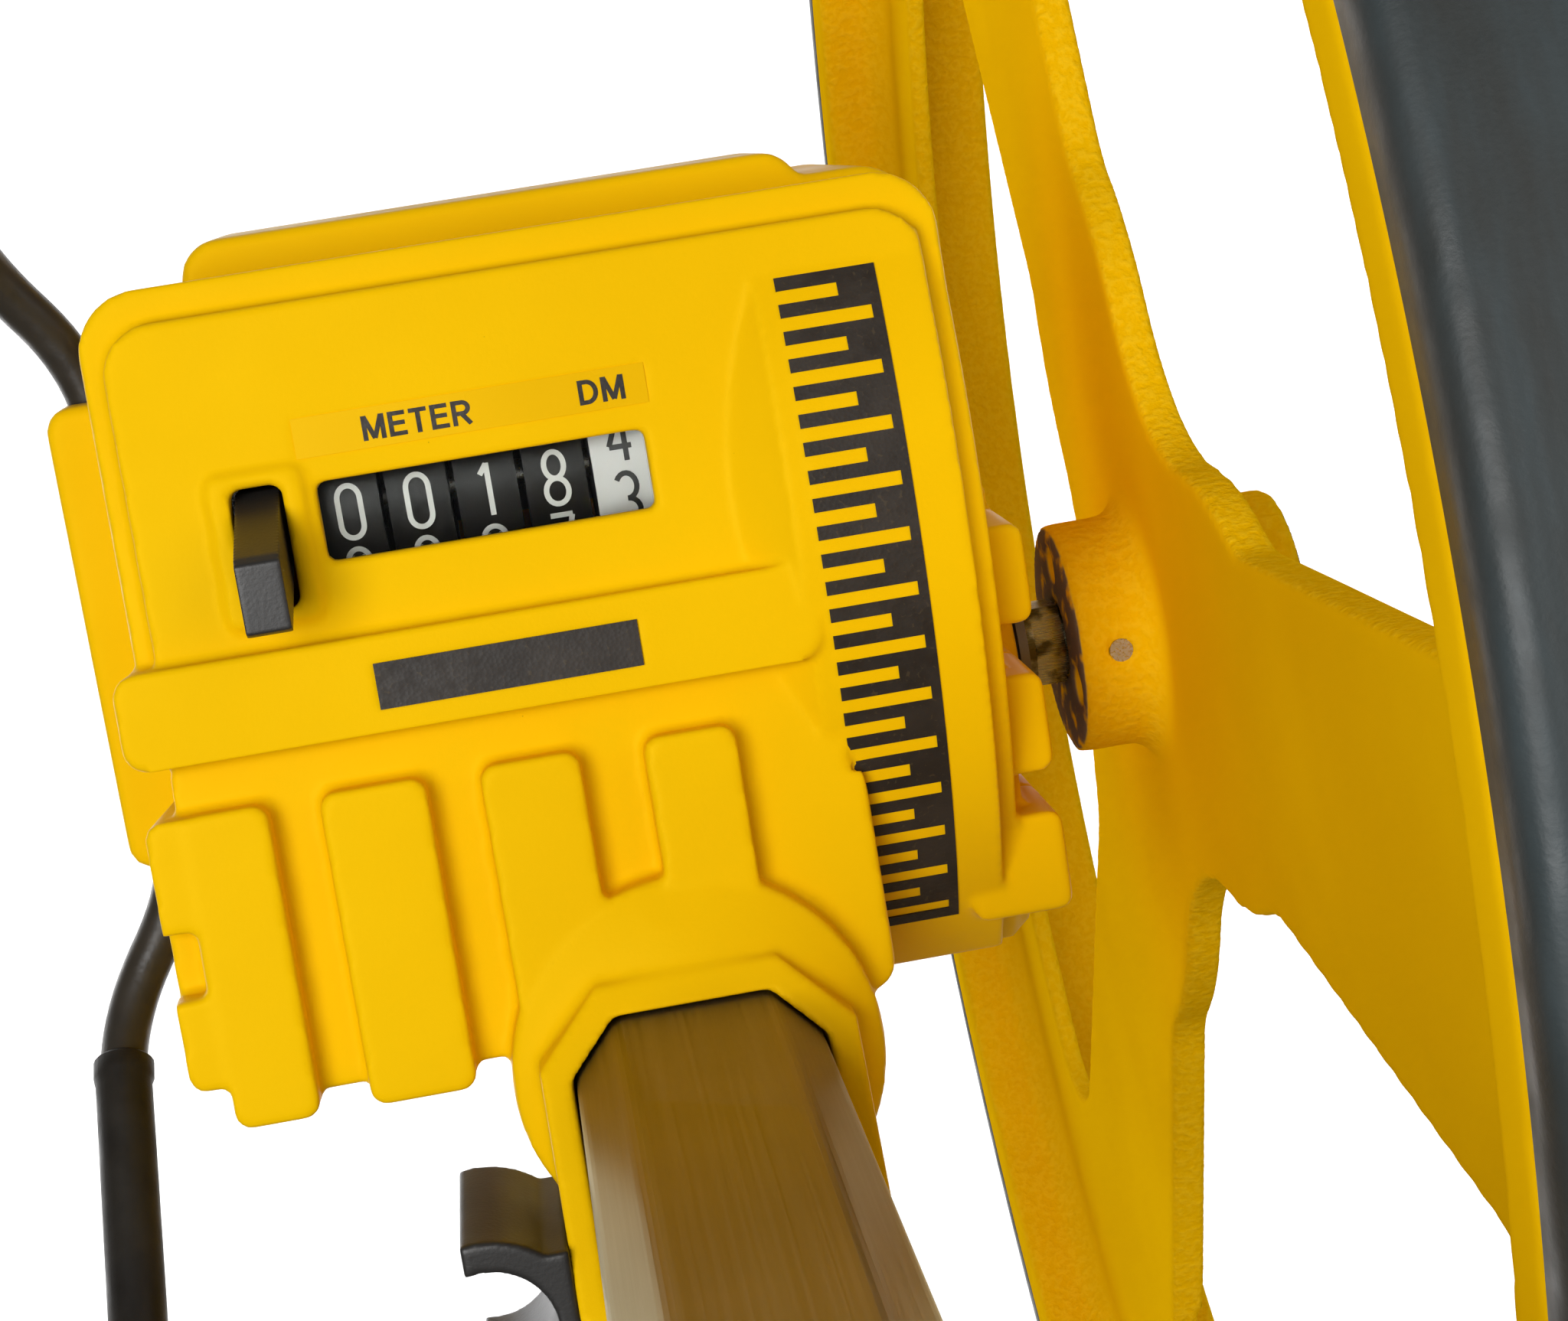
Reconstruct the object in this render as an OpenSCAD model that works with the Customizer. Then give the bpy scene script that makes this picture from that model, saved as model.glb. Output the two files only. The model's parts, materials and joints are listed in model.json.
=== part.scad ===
// Measuring wheel with a five-drum counter, a folding handle and a two-legged stand.
// Drawn with the axle's centre line at x = any, y = 0, z = 0 and then moved, so that the
// centre of the hanging hole in the grip is the origin. +X points from the counter to the
// wheel, +Y is forward and +Z runs up the handle tube.

/* [Wheel] */
// Distance rolled in one turn of the wheel
roll_length = 1000; // [1000:1:1000]
// Radius of the rim's outer face, under the tyre
rim_r = 152; // [150:0.5:153]
// Radius of the rim's inner face
rim_in_r = 146.5; // [144:0.5:148]
// Width of the rim
rim_w = 24.3; // [22:0.1:26]
// Distance from the tube's side of the counter frame to the rim's near face
rim_x = 57; // [56:0.5:60]
// Thickness of the spoke plates
spoke_t = 4.4; // [4:0.1:6]
// Half the width of a spoke where it leaves the hub
spoke_half = 14; // [12:0.5:16]
// Angle of the first spoke from straight up, positive towards the front
spoke_angle = -4; // [-20:1:20]
// Radius of the hub
hub_r = 12.8; // [12:0.1:14]

/* [Counter case] */
// Left side of the case
case_x0 = -37; // [-38:0.5:-36]
// Right side of the case
case_x1 = 45.5; // [45:0.5:46]
// Top edge of the front panel, measured along the panel
case_top = 55.5; // [54:0.5:57]
// Height of the front panel above the axle
panel_z = 44.7; // [44:0.1:46]
// Tilt of the front panel
panel_tilt = 5; // [4:0.5:6]
// Height of the joint between the two shells above the axle
part_z = 19; // [18:0.5:20]
// Lowest level of the rear shell
back_z = -28; // [-30:0.5:-26]
// Wall thickness of the shells
wall = 2.4; // [2:0.1:2.8]
// Left side of the rear shell
back_x0 = -29; // [-29.5:0.5:-28.5]
// Radius of the curved scale face
barrel_r = 66; // [64:0.5:68]
// Y of the centre of the curved scale face
barrel_y = 21; // [20:0.5:22]
// Height of the centre of the curved scale face
barrel_z = -20; // [-21:0.5:-19]

/* [Counter] */
// Radius of the number drums
drum_r = 10; // [9.5:0.1:10]
// Distance from one drum to the next
drum_pitch = 6.6; // [6.4:0.1:6.8]
// X of the centre of the first drum
drum_x = -14.5; // [-15:0.1:-14]
// Y of the drum shaft
count_y = 31.1; // [31.1:0.1:31.1]
// Gear module
gear_m = 1; // [1:1:1]
// Teeth on the axle gear and on the counter gear
gear_n = 20; // [20:1:20]
// Teeth on each idler gear
idler_n = 14; // [14:1:14]
// X of the gears' left faces
gear_x = 18; // [17.5:0.1:18.5]
// Length of the gears
gear_t = 4; // [3:0.5:4.5]

/* [Handle] */
// X of the tube's centre
tube_x = 9.5; // [9:0.5:10]
// Y of the tube's centre
tube_y = -33; // [-34:0.5:-32]
// Width of the tube
tube_w = 24; // [22:0.5:25]
// Depth of the tube
tube_d = 28; // [26:0.5:29]
// Wall of the tube
tube_t = 1.4; // [1:0.1:2]
// Height of the folding joint above the axle
fold_z = 490; // [480:5:500]
// Height of the upper tube's top above the axle
tube_top = 800; // [780:5:820]
// Length of the hand grip
grip_len = 124; // [115:1:130]
// Rise of the hand grip above level
grip_rise = 18; // [10:1:25]

/* [Stand] */
// Diameter of the stand's wire
wire_d = 4.8; // [4.4:0.1:5]
// Diameter of the rubber sleeves
sleeve_d = 6.2; // [6:0.1:6.6]
// Reach of the legs from the pivot
leg_reach = 187; // [184:1:190]

/* [Hidden] */
$fn = 96;
tyre_r = roll_length / (2 * PI);
rim_x1 = rim_x + rim_w;
web_x = rim_x + (rim_w - spoke_t) / 2;
web_x1 = web_x + spoke_t;
ring_r = 129;
hub_x0 = 57.9;
hub_x1 = 83.6;
axle_r = 4;
axle_x0 = 10.2;
axle_x1 = 83.2;
nut_x = 75;
axis_gap = 42;
count_z = sqrt(pow(axis_gap, 2) - pow(count_y, 2));
line_angle = atan2(count_z, count_y);
mesh_gap = gear_m * (gear_n + idler_n) / 2;
idler_along = (axis_gap - gear_m * idler_n) / 2;
idler_up = sqrt(pow(mesh_gap, 2) - pow(idler_along, 2));
angle_0a = line_angle + atan2(idler_up, idler_along);
angle_b1 = line_angle - atan2(idler_up, idler_along);
idler_a = mesh_gap * [cos(angle_0a), sin(angle_0a)];
idler_b = [count_y, count_z] - mesh_gap * [cos(angle_b1), sin(angle_b1)];
phase_a = mesh_phase(angle_0a, angle_0a, gear_n, idler_n);
phase_b = mesh_phase(line_angle, phase_a, idler_n, idler_n);
phase_1 = mesh_phase(angle_b1, phase_b, idler_n, gear_n);
drum_w = drum_pitch - 0.7;
shaft_r = 1.5;
pin_y = count_y + 13.6 * cos(-70);
pin_z = count_z + 13.6 * sin(-70);
fold_y = tube_y + tube_d / 2 + 4;
grip_y = tube_y;
grip_z = tube_top + 12;
hang_d = grip_len - 20;
hang_y = grip_y - hang_d * cos(grip_rise);
hang_z = grip_z + hang_d * sin(grip_rise);
cavity_x0 = back_x0 + wall;
stand_x = -39.5;
stand_z = 11.5;
leg_x = -48.8;
lever_y = 34;
lever_z = 24;

YELLOW = "gold";
BLACK = "dimgray";
STEEL = "silver";

// ---- helpers ----

// Moves the axle-based drawing so that the hanging hole is the origin.
module place() { translate([-tube_x, -hang_y, -hang_z]) children(); }

// Places children on the front panel: X across, Y up along it, Z out of it.
module panel() { translate([0, 0, panel_z]) rotate([-panel_tilt, 0, 0]) children(); }

// Solid cylinder along X from x0 to x1.
module xrod(x0, x1, r) { translate([x0, 0, 0]) rotate([0, 90, 0]) cylinder(h = x1 - x0, r = r); }

// Solid cylinder along Y from y0 to y1.
module yrod(y0, y1, r) { translate([0, y0, 0]) rotate([-90, 0, 0]) cylinder(h = y1 - y0, r = r); }

// Flat rectangle with round corners.
module round_rect(x0, y0, x1, y1, r) {
  translate([x0 + r, y0]) square([x1 - x0 - 2 * r, y1 - y0]);
  translate([x0, y0 + r]) square([x1 - x0, y1 - y0 - 2 * r]);
  for (x = [x0 + r, x1 - r]) for (y = [y0 + r, y1 - r]) translate([x, y]) circle(r = r, $fn = 48);
}

module round_block(x0, y0, z0, x1, y1, z1, r) {
  translate([0, 0, z0]) linear_extrude(z1 - z0) round_rect(x0, y0, x1, y1, r);
}

module box(x0, y0, z0, x1, y1, z1) { translate([x0, y0, z0]) cube([x1 - x0, y1 - y0, z1 - z0]); }

// Eight-sided section of the handle tube, grown by g on every side.
module tube_section(g) {
  hx = tube_w / 2 + g;
  hy = tube_d / 2 + g;
  c = 4.6 + 0.586 * g;
  polygon([[hx, hy - c], [hx - c, hy], [c - hx, hy], [-hx, hy - c],
    [-hx, c - hy], [c - hx, -hy], [hx - c, -hy], [hx, c - hy]]);
}

module tube_solid(z0, z1, g) {
  translate([tube_x, tube_y, z0]) linear_extrude(z1 - z0) tube_section(g);
}

// Angle of a tooth on gear B, which meshes with gear A in direction theta, when A has a
// tooth at angle phase.
function mesh_phase(theta, phase, n_a, n_b) = theta + 180 - (phase - theta) * n_a / n_b + 180 / n_b;

// Flat-sided gear about X, with a tooth centred at angle a from +Y towards +Z.
module gear(x0, len, n, bore, a) {
  rp = gear_m * n / 2;
  tip = rp + 0.75 * gear_m;
  root = rp - 1.1 * gear_m;
  // each tooth as four corners: [radius, part of a tooth's pitch]
  corners = [[root, -0.33], [tip, -0.15], [tip, 0.15], [root, 0.33]];
  translate([x0, 0, 0]) rotate([90, 0, 90]) difference() {
    linear_extrude(len) polygon([for (i = [0 : n - 1]) for (c = corners)
      let (q = a + 360 / n * (i + c[1])) [c[0] * cos(q), c[0] * sin(q)]]);
    translate([0, 0, -1]) cylinder(h = len + 2, r = bore);
  }
}

// ---- wheel ----

// Flat shape of one opening between two spokes, with its middle on +X.
module spoke_gap() {
  flare = 0.08;
  inner = 30;
  outer = ring_r;
  steps = 10;
  edge = [for (i = [0 : steps]) let (r = 52 + (outer - 52) * i / steps)
    let (h = spoke_half + flare * (r - 20) + 1.4, q = 60 - asin(h / r)) [r, q]];
  low = [for (p = edge) [p[0] * cos(p[1]), -p[0] * sin(p[1])]];
  high = [for (i = [steps : -1 : 0]) [edge[i][0] * cos(edge[i][1]), edge[i][0] * sin(edge[i][1])]];
  offset(r = 13, $fn = 48) offset(delta = -13) offset(r = -40, $fn = 96) offset(delta = 40)
    union() {
      intersection() {
        polygon(concat([[inner + 9, -17]], low, [[outer * 1.6, low[steps][1] * 1.6]],
          [[outer * 1.6, high[0][1] * 1.6]], high, [[inner + 9, 17]]));
        circle(r = outer, $fn = 160);
      }
      translate([inner + 26, 0]) circle(r = 26, $fn = 64);
    }
}

module wheel_profile() {
  hx0 = hub_x0;
  // rim with a shallow bead at each edge
  polygon([[rim_in_r, rim_x], [rim_r + 1.6, rim_x], [rim_r + 1.6, rim_x + 1.6],
    [rim_r, rim_x + 2.4], [rim_r, rim_x1 - 2.4], [rim_r + 1.6, rim_x1 - 1.6],
    [rim_r + 1.6, rim_x1], [rim_in_r, rim_x1], [rim_in_r, web_x1 - 0.4],
    [rim_in_r - 1.2, web_x1 - 1.6], [112, web_x1 - 1.6], [104, web_x1], [hub_r + 2, web_x1],
    [hub_r, web_x1 + 2], [hub_r, hub_x1], [0, hub_x1], [0, hx0], [hub_r, hx0],
    [hub_r, web_x - 2], [hub_r + 2, web_x], [rim_in_r - 3, web_x], [rim_in_r, web_x - 3]]);
}

module about_x() { rotate([0, 90, 0]) children(); }

module wheel_body() {
  place() color(YELLOW) difference() {
    about_x() rotate_extrude($fn = 180) wheel_profile();
    for (i = [0 : 2]) rotate([150 - spoke_angle + 120 * i, 0, 0])
      translate([web_x - 8, 0, 0]) rotate([90, 0, 90]) linear_extrude(spoke_t + 16) spoke_gap();
    xrod(hub_x0 - 1, hub_x1 + 1, axle_r);
    // recess for the nut and its washer
    xrod(nut_x, hub_x1 + 1, 9.2);
    for (x = [hub_x0 + 4.5]) translate([x, 0, 0]) cylinder(h = 40, r = 1.25, center = true);
    // moulding recesses in the hub's face
    for (i = [0 : 2]) rotate([30 + 120 * i, 0, 0]) translate([0, 0, 8.4]) xrod(hub_x0 - 1, hub_x0 + 1.6, 2.1);
  }
}

module tyre() {
  place() color(BLACK) difference() {
    about_x() rotate_extrude($fn = 180)
      polygon([[rim_r, rim_x + 2.4], [rim_r + 1.6, rim_x + 1.6], [rim_r + 1.6, rim_x + 0.1],
        [tyre_r - 2.2, rim_x + 0.1], [tyre_r - 0.6, rim_x + 1.6], [tyre_r, rim_x + 4],
        [tyre_r, rim_x1 - 4], [tyre_r - 0.6, rim_x1 - 1.6], [tyre_r - 2.2, rim_x1 - 0.1],
        [rim_r + 1.6, rim_x1 - 0.1], [rim_r + 1.6, rim_x1 - 1.6], [rim_r, rim_x1 - 2.4]]);
  }
}

module axle() {
  place() color(STEEL) difference() {
    xrod(axle_x0, axle_x1, axle_r);
    // cross hole for the hub pin
    translate([hub_x0 + 4.5, 0, 0]) cylinder(h = 20, r = 1.25, center = true);
    // grooves for the circlips
    for (x = [12.2, 46.6]) difference() {
      xrod(x, x + 0.9, axle_r + 1);
      xrod(x - 1, x + 2, axle_r - 0.6);
    }
  }
}

module hub_pin() {
  place() color(STEEL) translate([hub_x0 + 4.5, 0, -hub_r + 0.4])
    cylinder(h = 2 * hub_r - 0.8, r = 1.25);
}

module hub_cap_nut() {
  place() color(STEEL) difference() {
    translate([nut_x + 1.3, 0, 0]) rotate([0, 90, 0]) cylinder(h = 6.4, r = 7.4, $fn = 6);
    xrod(nut_x, nut_x + 10, axle_r);
  }
}

module axle_washers() {
  place() color(STEEL) {
    difference() { xrod(nut_x + 0.05, nut_x + 1.25, 8.6); xrod(nut_x - 1, nut_x + 3, axle_r + 0.2); }
    difference() { xrod(53.4, 54.4, 5.2); xrod(52, 56, axle_r + 0.2); }
    // hexagonal spacer nut between the case and the hub
    difference() {
      translate([54.5, 0, 0]) rotate([0, 90, 0]) cylinder(h = 3.3, r = 5, $fn = 6);
      xrod(54, 59, axle_r + 0.05);
    }
  }
}

module circlips() {
  place() color(STEEL) for (x = [12.3, 46.7]) difference() {
    xrod(x, x + 0.7, axle_r + 1.8);
    xrod(x - 1, x + 2, axle_r - 0.5);
    rotate([200, 0, 0]) box(x - 1, -1.3, 0, x + 2, 1.3, 9);
  }
}

module bush(x0, x1, flange_x, r) {
  difference() {
    union() {
      xrod(x0, x1, r);
      xrod(flange_x, flange_x + 1, r + 1.6);
    }
    xrod(x0 - 2, x1 + 2, axle_r + 0.05);
  }
}

module axle_bush_outer() {
  place() color("tan") bush(48.2, 53.2, 52.2, 6.4);
}

module axle_bush_inner() {
  place() color("tan") bush(13.6, 17.2, 16.2, 6);
}

module axle_gear() {
  place() color("ivory") union() {
    gear(gear_x, gear_t, gear_n, axle_r, angle_0a);
    difference() {
      xrod(gear_x + gear_t, gear_x + gear_t + 4, 7);
      xrod(gear_x, gear_x + 12, axle_r);
    }
  }
}

// ---- case ----

rib_x = [[-34.8, -26.7], [-21.9, -11.7], [-6.6, 3.0], [9.1, 18.0]];
// blocks on the side that faces the wheel
side_block_y = [[8.5, 18.6], [-6.8, 3.3], [-21.4, -11.1]];
side_block_x1 = 50.2;

// Part of the curved scale face's round body between x0 and x1.
module barrel(x0, x1, r) {
  translate([0, barrel_y, barrel_z]) xrod(x0, x1, r);
}

module front_outer() {
  intersection() {
    union() {
      panel() {
        round_block(case_x0, 10, -30, case_x1, case_top, -2.4, 6);
        round_block(case_x0 + 2.2, 12, -30, case_x1 - 2.2, case_top - 3.4, 0, 5);
        // middle band
        round_block(case_x0 - 2, 10.7, -30, 27.6, 20, 2.4, 2.3);
        // lower field and its ribs
        round_block(case_x0 + 1.5, -22.6, -30, 30, 12, -1.2, 3);
        for (r = rib_x) round_block(r[0], -24.4, -30, r[1], 5.9, 2.2, 1.6);
        round_block(-38.4, -20.2, -30, -30, 5.8, 2.1, 1.6);
        // raised frame around the reset slot
        round_block(-27.2, 22.4, -3, -18.4, 36.8, 0.7, 0.8);
      }
      // curved scale face
      intersection() {
        barrel(26.5, 43.2, barrel_r);
        box(20, -26, part_z, 50, 49.5, 60);
      }
      intersection() {
        barrel(20, case_x1, barrel_r - 3.4);
        box(20, -27, part_z, 50, 51, 60);
      }
      // blocks on the side that faces the wheel
      for (y = side_block_y) round_block(40, y[0], part_z, side_block_x1, y[1], 33, 1.5);
      intersection() {
        barrel(20.5, 60, barrel_r - 3.9);
        round_block(21, -26.8, part_z - 1, 47.2, 12, 28, 3);
      }
      // socket for the tube, cut off at a slant
      difference() {
        union() {
          tube_solid(0, 84, 3.2);
          intersection() {
            translate([tube_x, tube_y + 7.5, part_z]) cylinder(h = 60, r = 18);
            translate([tube_x, tube_y + 3, 1.3]) sphere(r = 51.2, $fn = 96);
          }
        }
        translate([0, tube_y + 17, 51]) rotate([-24, 0, 0]) box(-60, -90, 0, 60, 20, 60);
      }
    }
    box(-60, -60, part_z, 60, 60, 90);
  }
}

module front_cavity() {
  panel() {
    box(cavity_x0, 13, -40, 27, case_top - 4.6, -wall);
    round_block(cavity_x0, -13, -40, 27, 18, -wall - 1.2, 3);
  }
  intersection() {
    barrel(18, case_x1 - wall, barrel_r - 3.4 - wall);
    box(10, -13, 0, 60, 47, 60);
  }
}

module front_shell() {
  place() color(YELLOW) difference() {
    front_outer();
    difference() {
      front_cavity();
      translate([tube_x, tube_y, 0]) cylinder(h = 90, r = 17);
    }
    tube_solid(0, 120, 0.25);
    // window, reset slot, recesses for the label and the badge
    panel() {
      box(-17.1, 27.35, -10, 14.2, 34.9, 5);
      round_block(-25.3, 23.6, -10, -20.3, 35.4, 5, 1);
      box(-18.5, 37.2, -0.15, 15.3, 41.2, 2);
      box(-14.7, 12.8, 2.2, 10.6, 17.4, 5);
      // notch in the left rib
      round_block(-42, -11.3, -2.2, -35.3, -4.9, 5, 0.8);
    }
    // seat of the scale strip
    difference() {
      barrel(28.5, 38.1, barrel_r + 1);
      barrel(20, 50, barrel_r - 0.2);
      box(20, -80, -90, 50, -17.6, 90);
      box(20, 47.2, -90, 50, 90, 90);
      box(20, -90, -90, 50, 90, part_z + 2);
    }
    // screw holes
    for (p = case_screw_at) translate([p[0], p[1], 0]) cylinder(h = part_z + 7, r = 1.3);
    // clamping hole for the socket screw
    translate([tube_x, 0, 42]) rotate([90, 0, 0]) translate([0, 0, -tube_y]) cylinder(h = 30, r = 2.2);
  }
  // posts for the screws
  place() color(YELLOW) difference() {
    for (p = case_screw_at) translate([p[0], p[1], part_z]) cylinder(h = p[2], r = 3.1);
    for (p = case_screw_at) translate([p[0], p[1], 0]) cylinder(h = part_z + 7, r = 1.3);
  }
}

// X and Y of each case screw and the length of its post in the front shell
case_screw_at = [[-24, 46.4, 19], [33, 43.6, 18], [-22.6, -18, 19]];

// Counter frame's screws, which stand on two posts
frame_screw_x = [-22.9, 23];
post_top = 6.6;

module back_shell() {
  place() color(YELLOW) difference() {
    union() {
      round_block(back_x0, -26, back_z, case_x1 + 1, 55.4, part_z, 6);
      round_block(-28, 20, -4, 35, 58.2, part_z, 4);
      // flange that carries the stand's wire
      round_block(-44, -4, 3, back_x0 + 4, 44, part_z, 2.5);
      for (y = side_block_y) round_block(40, y[0], -14, side_block_x1, y[1], part_z, 1.5);
      round_block(40.5, 14, -12, side_block_x1 - 0.6, 21.6, part_z - 2, 1.5);
      // boss around the outer axle bush
      xrod(40, 51.8, 9.6);
      tube_solid(-16, part_z, 3.2);
    }
    difference() {
      round_block(cavity_x0, -26 + wall, back_z + wall, case_x1 + 1 - wall, 55.4 - wall, part_z + 5, 4);
      tube_solid(-16, 60, 3.2);
      for (p = case_screw_at) translate([p[0], p[1], back_z]) cylinder(h = 60, r = 3.1);
      for (x = frame_screw_x) translate([x, count_y + 7.5, back_z]) cylinder(h = post_top - back_z, r = 3);
      // inner bearing post
      box(13.4, -7.6, back_z, 16, 7.6, 7.6);
    }
    tube_solid(5, 60, 0.25);
    xrod(13, 17.4, 6);
    xrod(40, 60, 6.4);
    // the bush's flange
    xrod(52, 60, 8.2);
    // bearing for the stand's wire
    translate([stand_x, 0, stand_z]) yrod(-30, 80, wire_d / 2 + 0.06);
    // screw holes with countersunk heads' seats
    for (p = case_screw_at) translate([p[0], p[1], back_z - 1]) {
      cylinder(h = 60, r = 1.6);
      cylinder(h = 4.2, r = 3);
    }
    for (x = frame_screw_x) translate([x, count_y + 7.5, post_top - 12]) cylinder(h = 30, r = 1.3);
  }
}

module case_screws() {
  place() color(STEEL) for (p = case_screw_at) translate([p[0], p[1], back_z + 0.6]) difference() {
    union() {
      cylinder(h = 2.4, r = 2.8);
      cylinder(h = part_z - back_z + 5.6, r = 1.3);
    }
    for (a = [0, 90]) rotate([0, 0, a]) box(-1.9, -0.35, -1, 1.9, 0.35, 0.9);
  }
}

module window_lens() {
  place() color("lightcyan", 0.4) panel() {
    box(-17.0, 27.45, -1.9, 14.1, 34.8, -0.5);
  }
}

module label_strip() {
  place() color(YELLOW) panel() box(-18.4, 37.3, -0.15, 15.2, 41.1, 0.05);
}

module badge_plate() {
  place() color(BLACK) panel() box(-14.6, 12.9, 2.2, 10.5, 17.3, 2.6);
}

module scale_strip() {
  place() color(BLACK) difference() {
    barrel(28.7, 37.9, barrel_r + 0.1);
    barrel(20, 50, barrel_r - 0.2);
    box(20, -90, -90, 50, -17.4, 90);
    box(20, 47, -90, 50, 90, 90);
    box(20, -90, -90, 50, 90, part_z + 2.2);
  }
}

// ---- counter ----

module at_count() { translate([0, count_y, count_z]) children(); }

module counter_frame() {
  place() color("darkgray") difference() {
    union() {
      for (x = [-20.2, 16]) translate([x, 0, 0]) difference() {
        box(0, count_y - 6, 8, 1.4, count_y + 11, count_z + 5);
        at_count() xrod(-1, 3, shaft_r + 0.05);
      }
      box(-20.2, count_y - 6, 6.6, 17.4, count_y + 11, 8);
      // arm that carries the idlers' studs
      intersection() {
        box(16, -6, 7, 17.4, count_y + 11, 37);
        union() for (q = [idler_a, idler_b]) translate([0, q[0], q[1]]) xrod(16, 17.4, 6.5);
      }
      box(16, 4, 12, 17.4, count_y - 2, 20);
      // feet
      box(-26.2, count_y + 4, 6.6, -20, count_y + 11, 8);
      box(17.2, count_y + 4, 6.6, 27, count_y + 11, 8);
    }
    for (q = [idler_a, idler_b]) translate([0, q[0], q[1]]) xrod(10, 30, 1.6);
    translate([0, pin_y, pin_z]) xrod(-30, 30, 1);
    for (x = frame_screw_x) translate([x, count_y + 7.5, 0]) cylinder(h = 20, r = 1.3);
  }
}

module frame_screws() {
  place() color(STEEL) for (x = frame_screw_x) translate([x, count_y + 7.5, -1]) difference() {
    union() {
      cylinder(h = 9, r = 1.3);
      translate([0, 0, 9]) cylinder(h = 1.8, r = 2.6);
    }
    translate([0, 0, 10]) for (a = [0, 90]) rotate([0, 0, a]) box(-1.7, -0.3, 0, 1.7, 0.3, 2);
  }
}

module drum_shaft() {
  place() color(STEEL) at_count() xrod(-20.4, 23.5, shaft_r);
}

// One number drum: a cup with a hub, closed on its left side.
module drum(i, tint, bore) {
  x = drum_x + drum_pitch * (i - 1);
  place() color(tint) at_count() difference() {
    union() {
      xrod(x - drum_w / 2, x + drum_w / 2, drum_r);
    }
    difference() {
      xrod(x - drum_w / 2 + 2, x + drum_w / 2 + 1, drum_r - 1.4);
      xrod(x - drum_w, x + drum_w, 3.2);
    }
    xrod(x - drum_w, x + drum_w, bore);
  }
}

module drum_1() drum(1, BLACK, shaft_r + 0.05);
module drum_2() drum(2, BLACK, shaft_r + 0.05);
module drum_3() drum(3, BLACK, shaft_r + 0.05);
module drum_4() drum(4, BLACK, shaft_r + 0.05);
module drum_5() drum(5, "white", shaft_r);

module counter_gear() {
  place() color("ivory") at_count() gear(gear_x, gear_t, gear_n, shaft_r, phase_1);
}

// Idler gear that turns on a stud at q, in the counter's Y and Z.
module idler(q, phase) {
  place() color("ivory") translate([0, q[0], q[1]]) gear(gear_x, gear_t, idler_n, 1.65, phase);
}

module idler_gear_a() idler(idler_a, phase_a);
module idler_gear_b() idler(idler_b, phase_b);

module idler_studs() {
  place() color(STEEL) for (q = [idler_a, idler_b]) translate([0, q[0], q[1]]) {
    xrod(16, 22.6, 1.6);
    xrod(22.6, 23.8, 3);
  }
}

module pinion_shaft() {
  place() color(STEEL) translate([0, pin_y, pin_z]) xrod(-20.6, 17.8, 1);
}

module pinion(i) {
  x = drum_x + drum_pitch * (i - 0.5);
  place() color("ivory") translate([0, pin_y, pin_z]) difference() {
    xrod(x - 1.5, x + 1.5, 3.2);
    xrod(x - 3, x + 3, 1.05);
    for (k = [0 : 7]) rotate([45 * k, 0, 0]) translate([0, 0, 3.5]) xrod(x - 3, x + 3, 0.75);
  }
}

module pinion_1() pinion(1);
module pinion_2() pinion(2);
module pinion_3() pinion(3);
module pinion_4() pinion(4);

module reset_lever() {
  place() color(BLACK) difference() {
    union() {
      translate([-24.9, 0, 0]) rotate([90, 0, 90]) linear_extrude(4.2)
        polygon([[35, 22], [34.6, 38.6], [30.2, 53], [29.6, 54], [23.2, 54], [22.8, 53],
          [25.6, 42], [27.4, 36], [29.5, 22]]);
      translate([0, lever_y - 1.5, lever_z]) xrod(-24.9, -20.7, 5);
    }
    translate([0, lever_y - 1.5, lever_z]) xrod(-30, -10, 1.55);
  }
}

module reset_pin() {
  place() color(STEEL) translate([0, lever_y - 1.5, lever_z]) xrod(-26.4, -20.3, 1.5);
  place() color("darkgray") difference() {
    box(-26.4, lever_y - 5, 8, -25.1, lever_y + 1.8, lever_z + 3);
    translate([0, lever_y - 1.5, lever_z]) xrod(-30, -20, 1.5);
  }
}

// ---- stand ----

// Corners of one leg, from the pivot's end outwards; s is -1 for the rear leg, 1 for the front.
function leg(s) = let (y0 = s < 0 ? -3 : 43)
  [[stand_x, y0, stand_z], [stand_x, y0 + s * 4, stand_z], [leg_x, y0 + s * 17.5, stand_z + 4],
    [leg_x, y0 + s * 98, stand_z + 92], [leg_x, y0 + s * 98, stand_z + leg_reach]];

function unit(v) = v / norm(v);

// The path p with each inner corner replaced by a curve that starts c before it.
function rounded(p, c) = concat([p[0]],
  [for (i = [1 : len(p) - 2])
    let (k = min(c, 0.45 * norm(p[i + 1] - p[i]), 0.45 * norm(p[i] - p[i - 1])),
      a = p[i] + k * unit(p[i - 1] - p[i]), b = p[i] + k * unit(p[i + 1] - p[i]))
    for (t = [0 : 0.2 : 1]) pow(1 - t, 2) * a + 2 * t * (1 - t) * p[i] + t * t * b],
  [p[len(p) - 1]]);

// The ring of points round point i of path p.
function ring(p, i, r, n) =
  let (t = unit(p[min(i + 1, len(p) - 1)] - p[max(i - 1, 0)]),
    u = unit([1, 0, 0] - t[0] * t), w = cross(t, u))
  [for (k = [0 : n - 1]) p[i] + r * (cos(360 * k / n) * u + sin(360 * k / n) * w)];

function side_faces(rings, n, base, flip) = [for (i = [0 : rings - 2]) for (k = [0 : n - 1])
  let (a = base + i * n + k, b = base + i * n + (k + 1) % n)
  flip ? [a, a + n, b + n, b] : [a, b, b + n, a + n]];

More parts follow.
